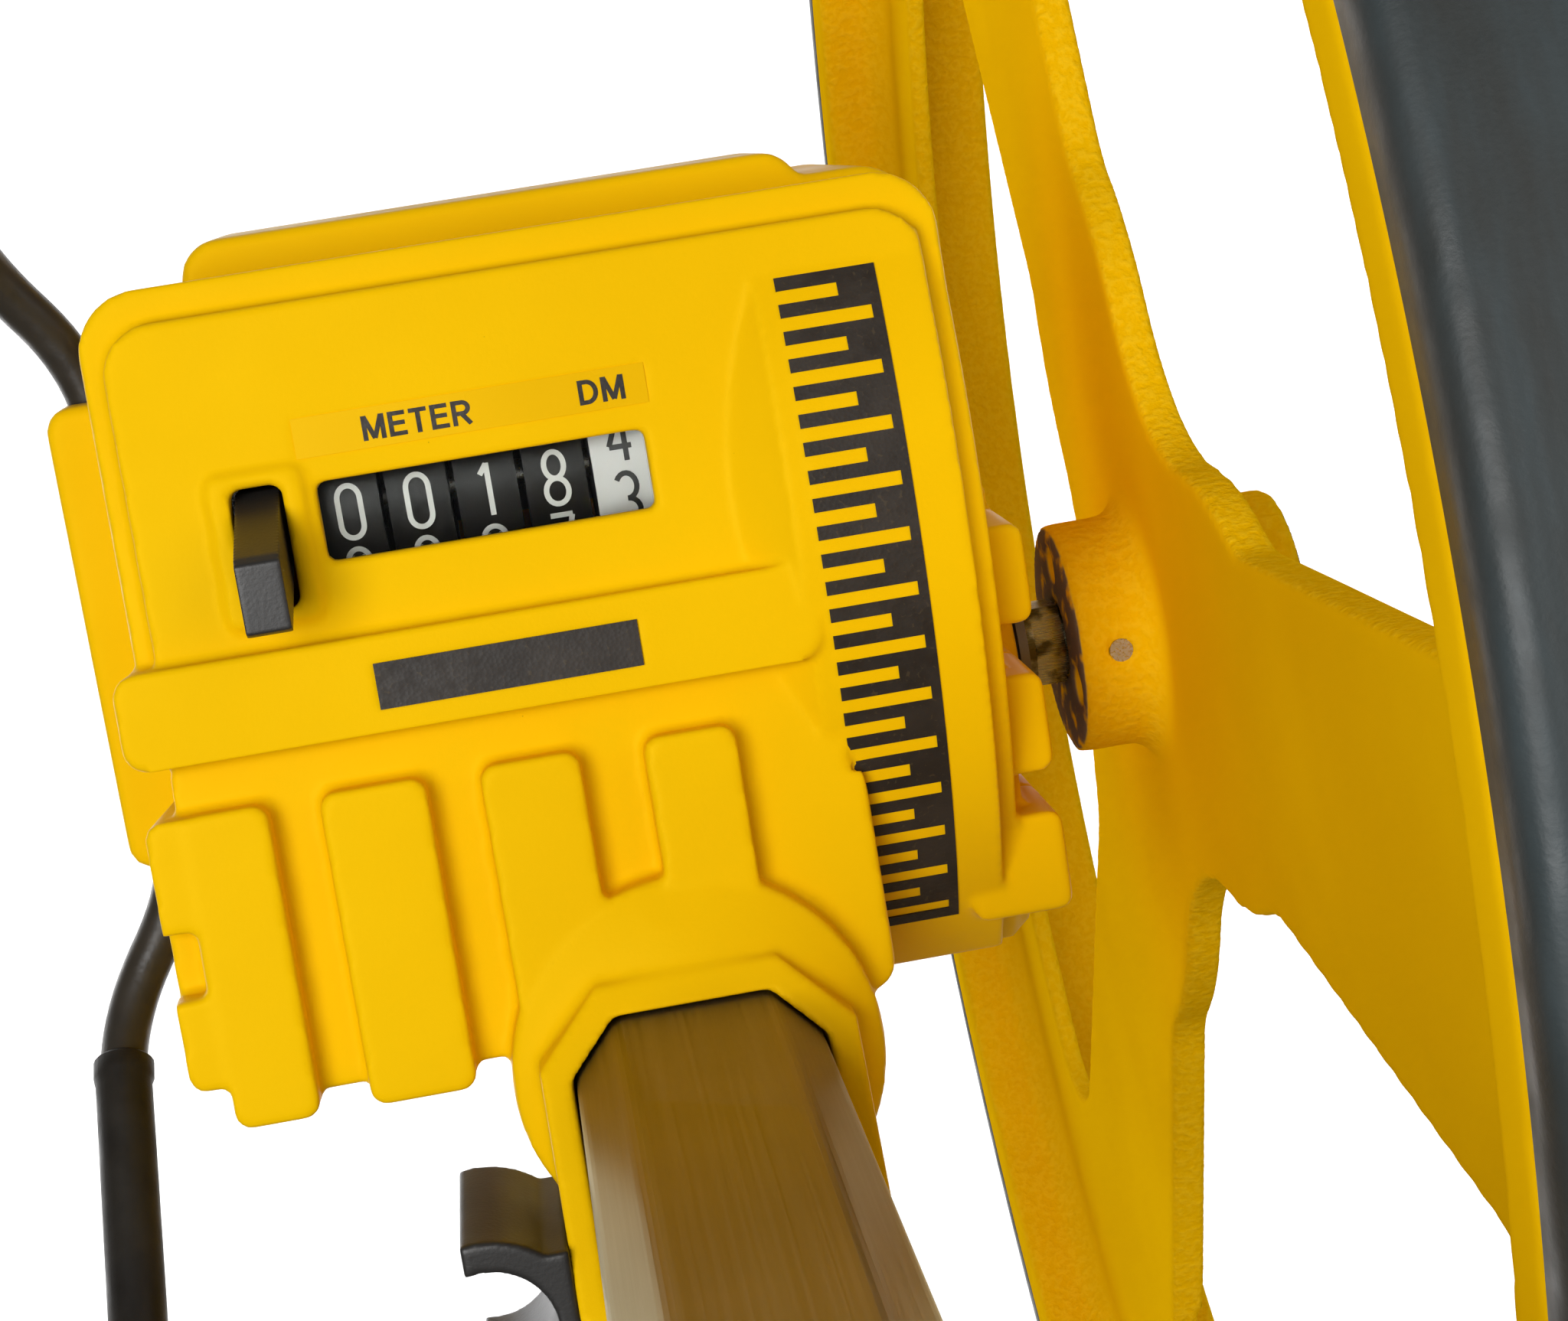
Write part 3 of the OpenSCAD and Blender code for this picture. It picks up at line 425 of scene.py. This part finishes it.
def lathe_x(name, profile, look, body, steps=256):
    """A ring about the axle from (radius, x) corners."""
    verts, faces, n = [], [], len(profile)
    for i in range(steps):
        a = 2 * math.pi * i / steps
        verts += [at(x, r * math.cos(a), r * math.sin(a)) for r, x in profile]
        j = (i + 1) % steps
        faces += [
            (i * n + q, i * n + (q + 1) % n, j * n + (q + 1) % n, j * n + q) for q in range(n)
        ]
    return add_mesh(name, verts, faces, look, body)


def tube(name, path, radius, look, body, sides=24):
    """A round bar along a path of points in millimetres; radius may differ from point to point."""
    verts, faces = [], []
    pts = [Vector(p) for p in path]
    side = Vector((1, 0, 0))
    for i, p in enumerate(pts):
        t = (pts[min(i + 1, len(pts) - 1)] - pts[max(i - 1, 0)]).normalized()
        side = (side - side.dot(t) * t).normalized()
        other = t.cross(side)
        r = radius[i] if isinstance(radius, list) else radius
        for a in (2 * math.pi * q / sides for q in range(sides)):
            verts.append(at(*(p + r * (math.cos(a) * side + math.sin(a) * other))))
    for i in range(len(pts) - 1):
        for q in range(sides):
            a, b = i * sides + q, i * sides + (q + 1) % sides
            faces.append((a, b, b + sides, a + sides))
    faces.append(tuple(range(sides - 1, -1, -1)))
    faces.append(tuple((len(pts) - 1) * sides + q for q in range(sides)))
    return add_mesh(name, verts, faces, look, body)


def bend(s, p, e, steps):
    """A curve from s to e that leaves and arrives along the lines to p."""
    ts = (i / steps for i in range(steps + 1))
    return [(1 - t) ** 2 * s + 2 * t * (1 - t) * p + t * t * e for t in ts]


def rounded_path(points, cut, steps=10):
    """The corners of a path in millimetres, each replaced by a curve that starts cut before it."""
    pts = [Vector(p) for p in points]
    out = [pts[0]]
    for a, p, b in zip(pts, pts[1:], pts[2:]):
        c = min(cut, 0.45 * (b - p).length, 0.45 * (a - p).length)
        s, e = p + c * (a - p).normalized(), p + c * (b - p).normalized()
        out += bend(s, p, e, steps)
    return out + [pts[-1]]


# ---------------------------------------------------------------- case

# the curved face that carries the scale: its centre's y and z, and its radius
BARREL_Y, BARREL_Z, BARREL_R = 21.0, -20.0, 66.0


def on_barrel(x, r, a):
    """A point at distance r from the curved face's centre, a radians forward of straight up."""
    return at(x, BARREL_Y + r * math.sin(a), BARREL_Z + r * math.cos(a))


# the slope's section, as (x, distance from the curved face's centre), and its ends in degrees
FLANK = [
    (18.6, 61.3),
    (20.5, 62.0),
    (24.0, 64.2),
    (26.2, 65.6),
    (27.6, 65.9),
    (27.6, 60.6),
    (18.6, 60.6),
]
FLANK_FROM, FLANK_TO = -44.5, 26


def scale_flank(bm):
    """The long slope on the left of the curved face, a solid wedge that follows its arc."""
    rings = []
    steps = 48
    for i in range(steps + 1):
        a = math.radians(FLANK_FROM + (FLANK_TO - FLANK_FROM) * i / steps)
        rings.append([bm.verts.new(on_barrel(x, r, a)) for x, r in FLANK])
    n = len(FLANK)
    for a, b in zip(rings, rings[1:]):
        for q in range(n):
            bm.faces.new((a[q], b[q], b[(q + 1) % n], a[(q + 1) % n]))
    bm.faces.new(rings[0])
    bm.faces.new(list(reversed(rings[-1])))


soften(
    "case_front",
    ["front_shell", "scale_strip"],
    0.42,
    4,
    "case_yellow",
    "case",
    keep=0.45,
    add=scale_flank,
)
soften("case_back", ["back_shell"], 0.55, 4, "case_yellow", "case", keep=0.4)
soften("wheel_casting", ["wheel_body"], 0.75, 4, "wheel_yellow", "wheel", keep=0.6)

# printed scale on the curved face: bars of ink with, between them, a shorter stretch on the right
# that leaves a long or a short yellow tooth. Angles are in degrees forward of straight up.
BAR_TOP, BAR_STEP, BARS = 22.3, 2.32, 27
INK_X = (28.7, 38.4)
LONG_TOOTH, SHORT_TOOTH = 0.9, 0.6
INK_UNDER, INK_OVER = 0.06, 0.19


def ink_patch(verts, faces, x0, x1, a0, a1):
    """A thin patch of ink on the curved face between two angles."""
    steps = max(1, int(abs(a1 - a0) / 0.6))
    base = len(verts)
    for i in range(steps + 1):
        a = math.radians(a0 + (a1 - a0) * i / steps)
        for r in (BARREL_R - INK_UNDER, BARREL_R + INK_OVER):
            verts += [on_barrel(x, r, a) for x in (x0, x1)]
    for i in range(steps):
        a, b = base + 4 * i, base + 4 * i + 4
        faces += [(a + 2, a + 3, b + 3, b + 2), (a, b, b + 1, a + 1)]
        faces += [(a, a + 2, b + 2, b), (a + 1, b + 1, b + 3, a + 3)]
    e = base + 4 * steps
    faces += [(base, base + 1, base + 3, base + 2), (e, e + 2, e + 3, e + 1)]


verts, faces = [], []
half = BAR_STEP / 4
for i in range(BARS):
    a = BAR_TOP - BAR_STEP * i
    ink_patch(verts, faces, INK_X[0], INK_X[1], a + half, a - half)
    if i < BARS - 1:
        tooth = LONG_TOOTH if i % 2 else SHORT_TOOTH
        left = INK_X[0] + tooth * (INK_X[1] - INK_X[0])
        ink_patch(verts, faces, left, INK_X[1], a - half, a - BAR_STEP + half)
add_mesh("scale_print", verts, faces, "print_black", "case", smooth=False)

# the flat front panel leans back by TILT, and crosses b = 0 at PANEL_Z
TILT = math.radians(5)
PANEL_Z = 44.7


def on_panel(x, b, h):
    """A point on the tilted front panel: across, up along it and out of it."""
    y = b * math.cos(TILT) + h * math.sin(TILT)
    return at(x, y, PANEL_Z - b * math.sin(TILT) + h * math.cos(TILT))


def stroke(verts, faces, pts, width, place):
    """A ribbon along flat points, with no underside.

    place(point, side) gives a corner's place in space, with side 1 for the top and 0 for the foot."""
    closed = (pts[0] - pts[-1]).length < 1e-3
    first = len(verts)
    for i in range(len(pts)):
        a, b = pts[max(i - 1, 0)], pts[min(i + 1, len(pts) - 1)]
        if closed and i in (0, len(pts) - 1):
            a, b = pts[-2], pts[1]
        t = (b - a).normalized()
        n = Vector((-t.y, t.x)) * width / 2
        verts += [place(pts[i] + edge, side) for side in (1, 0) for edge in (n, -n)]
    for i in range(len(pts) - 1):
        a, b = first + 4 * i, first + 4 * i + 4
        faces += [(a, b, b + 1, a + 1), (a, a + 2, b + 2, b), (a + 1, b + 1, b + 3, a + 3)]


def arc(cx, cy, rx, ry, a0, a1, n=14):
    """Points along an ellipse between two angles in degrees."""
    angles = (math.radians(a0 + (a1 - a0) * i / n) for i in range(n + 1))
    return [(cx + rx * math.cos(a), cy + ry * math.sin(a)) for a in angles]


# bold capitals, 1 high: each one's width and the middle lines of its strokes
STEM = [(0.09, 0), (0.09, 1)]
LETTERS = {
    "M": (
        0.86,
        [STEM, [(0.77, 0), (0.77, 1)], [(0.11, 0.98), (0.43, 0.06)], [(0.75, 0.98), (0.43, 0.06)]],
    ),
    "E": (
        0.66,
        [STEM, [(0.09, 0.09), (0.66, 0.09)], [(0.09, 0.52), (0.61, 0.52)], [(0.09, 0.91), (0.64, 0.91)]],
    ),
    "T": (0.66, [[(0, 0.91), (0.66, 0.91)], [(0.33, 0), (0.33, 0.91)]]),
    "R": (
        0.74,
        [
            STEM,
            [(0.09, 0.91), (0.40, 0.91)]
            + arc(0.40, 0.69, 0.22, 0.22, 80, -80)
            + [(0.40, 0.47), (0.09, 0.47)],
            [(0.36, 0.47), (0.66, 0.02)],
        ],
    ),
    "D": (
        0.74,
        [
            STEM,
            [(0.09, 0.91), (0.32, 0.91)]
            + arc(0.32, 0.5, 0.33, 0.41, 80, -80)
            + [(0.32, 0.09), (0.09, 0.09)],
        ],
    ),
}
LETTER_GAP, LETTER_STROKE = 0.13, 0.175
UNIT_B, UNIT_H = 39.15, 2.35


def lettering(name, text, x0, x1, b, height):
    """Plain capitals printed on the panel, fitted between x0 and x1."""
    verts, faces, pen, lines = [], [], 0.0, []
    for letter in text:
        width, strokes = LETTERS[letter]
        lines += [[Vector((pen + p[0], p[1])) for p in points] for points in strokes]
        pen += width + LETTER_GAP
    k = (x1 - x0) / (pen - LETTER_GAP)
    for i, points in enumerate(lines):
        # crossing strokes differ in height by a hair, so their tops don't share a plane

        def place(q, side, lift=0.10 + 0.002 * (i % 5)):
            return on_panel(x0 + k * q.x, b + height * (q.y - 0.5), lift if side else 0.03)

        stroke(verts, faces, points, LETTER_STROKE, place)
    add_mesh(name, verts, faces, "print_black", "case", smooth=False)


lettering("unit_metres", "METER", -11.9, -1.5, UNIT_B, UNIT_H)
lettering("unit_tenths", "DM", 8.7, 13.1, UNIT_B, UNIT_H)

# ---------------------------------------------------------------- number drums

drum_lo, drum_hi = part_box("drum_1")
DRUM_R = (drum_hi.y - drum_lo.y) / 2 / MM
COUNT = (((drum_lo + drum_hi) / 2) - AXLE) / MM


def line(a, b):
    """Points along a straight line, close enough together to bend round a drum."""
    n = max(2, int(math.dist(a, b) / 0.12))
    steps = range(1, n + 1)
    return [a] + [(a[0] + (b[0] - a[0]) * i / n, a[1] + (b[1] - a[1]) * i / n) for i in steps]


# the middle lines of each figure's strokes, in a box 1 wide and 2 high
FIGURES = {
    0: [
        arc(0, 0.5, 0.5, 0.5, 0, 180)
        + line((-0.5, 0.5), (-0.5, -0.5))
        + arc(0, -0.5, 0.5, 0.5, 180, 360)
        + line((0.5, -0.5), (0.5, 0.5))
    ],
    1: [line((0.1, 1), (0.1, -1)), line((0.1, 0.97), (-0.24, 0.58))],
    2: [
        arc(0, 0.5, 0.5, 0.5, 165, -20) + line((0.46, 0.3), (-0.46, -0.97)),
        line((-0.5, -1), (0.5, -1)),
    ],
    3: [arc(0, 0.5, 0.46, 0.5, 150, -90) + arc(0, -0.5, 0.5, 0.5, 90, -150)],
    4: [
        line((0.22, -1), (0.22, 1)),
        line((0.18, 0.98), (-0.5, -0.42)),
        line((-0.5, -0.45), (0.5, -0.45)),
    ],
    5: [
        line((0.44, 1), (-0.38, 1)),
        line((-0.38, 1), (-0.44, 0.12)) + arc(0, -0.42, 0.5, 0.58, 128, -150),
    ],
    6: [
        arc(0, 0.5, 0.5, 0.5, 30, 180) + line((-0.5, 0.5), (-0.5, -0.42)),
        arc(0, -0.42, 0.5, 0.58, 0, 360, 26),
    ],
    7: [line((-0.5, 1), (0.5, 1)), line((0.48, 0.97), (-0.12, -1))],
    8: [arc(0, 0.5, 0.44, 0.5, 0, 360, 24), arc(0, -0.5, 0.5, 0.5, 0, 360, 24)],
    9: [
        arc(0, 0.42, 0.5, 0.58, 0, 360, 26),
        line((0.5, 0.42), (0.5, -0.5)) + arc(0, -0.5, 0.5, 0.5, 0, -150),
    ],
}
FIGURE_W, FIGURE_H, STROKE = 2.15, 5.1, 0.52
# the middle of the first drum, the step to the next, and the figure that each drum shows
DRUM_X, DRUM_STEP = -14.5, 6.6
SHOWN = {1: 0, 2: 0, 3: 1, 4: 8, 5: 3.5}


def figure_mesh(verts, faces, digit, x, middle):
    """Adds a figure's strokes to a drum, with its middle at an angle in degrees from straight up."""

    def place(q, side):
        r = DRUM_R + (0.07 if side else -0.05)
        f = math.radians(middle) + q.y / DRUM_R
        return at(x + q.x, COUNT.y + r * math.sin(f), COUNT.z + r * math.cos(f))

    for points in FIGURES[digit]:
        flat = [Vector((p[0] * FIGURE_W, p[1] * FIGURE_H / 2)) for p in points]
        stroke(verts, faces, flat, STROKE, place)


for i, shown in SHOWN.items():
    verts, faces = [], []
    x = DRUM_X + DRUM_STEP * (i - 1)
    for digit in range(10):
        figure_mesh(verts, faces, digit, x, 36 * (digit - shown))
    # the last drum is the white one, and turns with the counter's shaft
    ink, body = ("black", "counter") if i == 5 else ("white", f"drum_{i}")
    add_mesh(f"figures_{i}", verts, faces, f"digit_{ink}", body, smooth=False)

# ---------------------------------------------------------------- tyre

# outer radius, the height and width of its rounded shoulders, and the radius of its bore
TYRE_R, SHOULDER_H, SHOULDER_W, BORE_R = 159.15, 3.2, 3.0, 152.0
SEAT_R, SEAT_IN = 153.7, 2.2

tyre_profile = []
for edge, inwards, angles in ((TYRE_X[0], 1, range(0, 91, 10)), (TYRE_X[1], -1, range(90, -1, -10))):
    for q in map(math.radians, angles):
        r = TYRE_R - SHOULDER_H + SHOULDER_H * math.sin(q)
        tyre_profile.append((r, edge + inwards * (SHOULDER_W - SHOULDER_W * math.cos(q))))
tyre_profile += [
    (SEAT_R, TYRE_X[1]),
    (BORE_R, TYRE_X[1] - SEAT_IN),
    (BORE_R, TYRE_X[0] + SEAT_IN),
    (SEAT_R, TYRE_X[0]),
]
tyre = lathe_x("tyre_moulding", tyre_profile, "tyre_rubber", "wheel", 360)
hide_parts("tyre")

# ---------------------------------------------------------------- stand

# the line that the stand turns about, and how far left its legs stand
STAND_X, STAND_Z = -39.5, 11.5
LEG_X = -48.8
WIRE_R = 2.4


def leg_path(s):
    """One leg's route: s is -1 for the rear leg and 1 for the front one."""
    y0 = -3 if s < 0 else 43
    return rounded_path(
        [
            (STAND_X, 20, STAND_Z),
            (STAND_X, y0 + s * 4, STAND_Z),
            (LEG_X, y0 + s * 17.5, STAND_Z + 4),
            (LEG_X, y0 + s * 98, STAND_Z + 92),
            (LEG_X, y0 + s * 98, STAND_Z + 187),
        ],
        9,
    )


rear, front = leg_path(-1), leg_path(1)
wire = tube("stand_bar", list(reversed(rear)) + front[1:], WIRE_R, "wire_black", "stand")
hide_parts("stand_wire")


# points of a leg's route: the sleeve's lip is in the second bend, and its barrel starts after it
LIP_AT, BARREL_AT = 20, 22
SLEEVE_R = 2.9


def sleeve(name, path):
    """Rubber cover on a leg: a thick lip, a long barrel and a domed foot."""
    lip = path[LIP_AT]
    out, radii = [lip], [2.45]
    for t, r in ((0.0, 2.8), (0.35, 3.1), (2.2, 3.1), (2.9, SLEEVE_R)):
        out.append(lip + (path[BARREL_AT] - lip).normalized() * t)
        radii.append(r)
    for p in path[BARREL_AT:]:
        if (p - out[-1]).length > 0.4:
            out.append(p)
            radii.append(SLEEVE_R)
    tip = (out[-1] - out[-2]).normalized()
    end = out[-1]
    for t, r in ((1.4, 2.85), (2.3, 2.4), (2.8, 1.6), (3.0, 0.6)):
        out.append(end + tip * t)
        radii.append(r)
    return tube(name, out, radii, "sleeve_rubber", "stand")


sleeves = [sleeve("sleeve_rear", rear), sleeve("sleeve_front", front)]
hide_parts("stand_sleeves")

# ---------------------------------------------------------------- handle


def octagon(g, r=1.1, steps=4):
    """The tube's section grown by g, with its corners rounded."""
    hx, hy, c = 12 + g, 14 + g, 4.6 + 0.586 * g
    half = [(hx, hy - c), (hx - c, hy), (c - hx, hy), (-hx, hy - c)]
    pts = [Vector(p) for p in half] + [Vector((-x, -y)) for x, y in half]
    out = []
    for i, p in enumerate(pts):
        a, b = pts[i - 1], pts[(i + 1) % 8]
        out += bend(p + (a - p).normalized() * r, p, p + (b - p).normalized() * r, steps)
    return out


WALL = 1.4


def drawn_tube(name, node, body):
    """The extruded aluminium tube, open at both ends, with softened corners."""
    lo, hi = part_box(node)
    cx, cy = (lo.x + hi.x) / 2, (lo.y + hi.y) / 2
    outer, inner = octagon(0), octagon(-WALL, 0.7)
    n = len(outer)
    rings = ((lo.z, inner), (lo.z, outer), (hi.z, outer), (hi.z, inner))
    verts = [Vector((cx + p.x * MM, cy + p.y * MM, z)) for z, ring in rings for p in ring]
    faces = []
    for a in range(4):
        b = (a + 1) % 4
        faces += [
            (a * n + i, a * n + (i + 1) % n, b * n + (i + 1) % n, b * n + i) for i in range(n)
        ]
    piece = add_mesh(name, verts, faces, "tube_aluminium", body, smooth=False)
    for p in piece.data.polygons:
        p.use_smooth = abs(p.normal.z) < 0.5
    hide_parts(node)


drawn_tube("tube_low", "lower_tube", "case")
drawn_tube("tube_high", "upper_tube", "upper_handle")
soften("clip_moulding", ["stand_clip"], 0.3, 4, "black_plastic", "case")
soften("lever_moulding", ["reset_lever"], 0.2, 3, "black_plastic", "reset")
soften("fork_moulding", ["hinge_fork"], 0.6, 3, "black_plastic", "case")
soften("tongue_moulding", ["hinge_tongue"], 0.6, 3, "black_plastic", "upper_handle")
soften("knob_moulding", ["lock_knob"], 0.4, 4, "black_plastic", "lock")
soften("grip_moulding", ["grip_left", "grip_right"], 0.9, 10, "grip_black", "upper_handle")

# ---------------------------------------------------------------- floor, light and camera

# metres: the floor lies well below the object, so it stays plain behind it
FLOOR_HALF, FLOOR_DROP = 6, 0.60
floor_z = cad_box[0][2] - FLOOR_DROP
corners = [(x * FLOOR_HALF, y * FLOOR_HALF, floor_z) for x, y in ((-1, -1), (1, -1), (1, 1), (-1, 1))]
mesh = bpy.data.meshes.new("floor")
mesh.from_pydata(corners, [], [(0, 1, 2, 3)])
floor = bpy.data.objects.new("floor", mesh)
bpy.context.scene.collection.objects.link(floor)
k = Look("floor_paper", Roughness=0.9)
k.set("Base Color", k.mix(k.noise(600, 2), (0.93, 0.93, 0.93), (0.90, 0.90, 0.90)))
mesh.materials.append(k.mat)


def softbox(name, where, target, size, power):
    """A square lamp, size in metres and power in watts, at one point in mm and aimed at another."""
    data = bpy.data.lights.new(name, "AREA")
    data.shape = "SQUARE"
    data.size = size
    data.energy = power
    lamp = bpy.data.objects.new(name, data)
    bpy.context.scene.collection.objects.link(lamp)
    lamp.location = at(*where)
    lamp.visible_camera = False
    lamp.rotation_euler = (at(*target) - lamp.location).to_track_quat("-Z", "Y").to_euler()


softbox("key", (-330, 120, 900), (10, 10, 20), 0.5, 7.4)
softbox("fill", (620, 260, 640), (60, 30, 0), 0.8, 2.2)
# two lamps below the object face straight down, so that they light the floor alone
for side in (-1, 1):
    x = 80 + side * 850
    softbox(f"floor_light_{side + 1}", (x, -130, -260), (x, -130, -760), 1.0, 14)

world = bpy.data.worlds.new("studio")
bpy.context.scene.world = world
world.use_nodes = True
background = world.node_tree.nodes["Background"]
background.inputs["Color"].default_value = (1, 1, 1, 1)
background.inputs["Strength"].default_value = 0.17
bpy.context.scene.view_settings.view_transform = "Standard"

# the camera's place and turn are those fitted to the photo
camera_data = bpy.data.cameras.new("camera")
camera_data.sensor_width = 36.0
camera_data.lens = 70.63
camera_data.clip_start = 0.01
camera_data.clip_end = 50.0
camera = bpy.data.objects.new("camera", camera_data)
bpy.context.scene.collection.objects.link(camera)
right = Vector((0.9827, -0.1531, 0.1045))
up = Vector((0.1687, 0.9722, -0.1624))
back = Vector((-0.0767, 0.1773, 0.9812))
turn = Matrix((right, up, back)).transposed().to_4x4()
camera.matrix_world = Matrix.Translation(at(1.242, 63.046, 332.99)) @ turn
bpy.context.scene.camera = camera
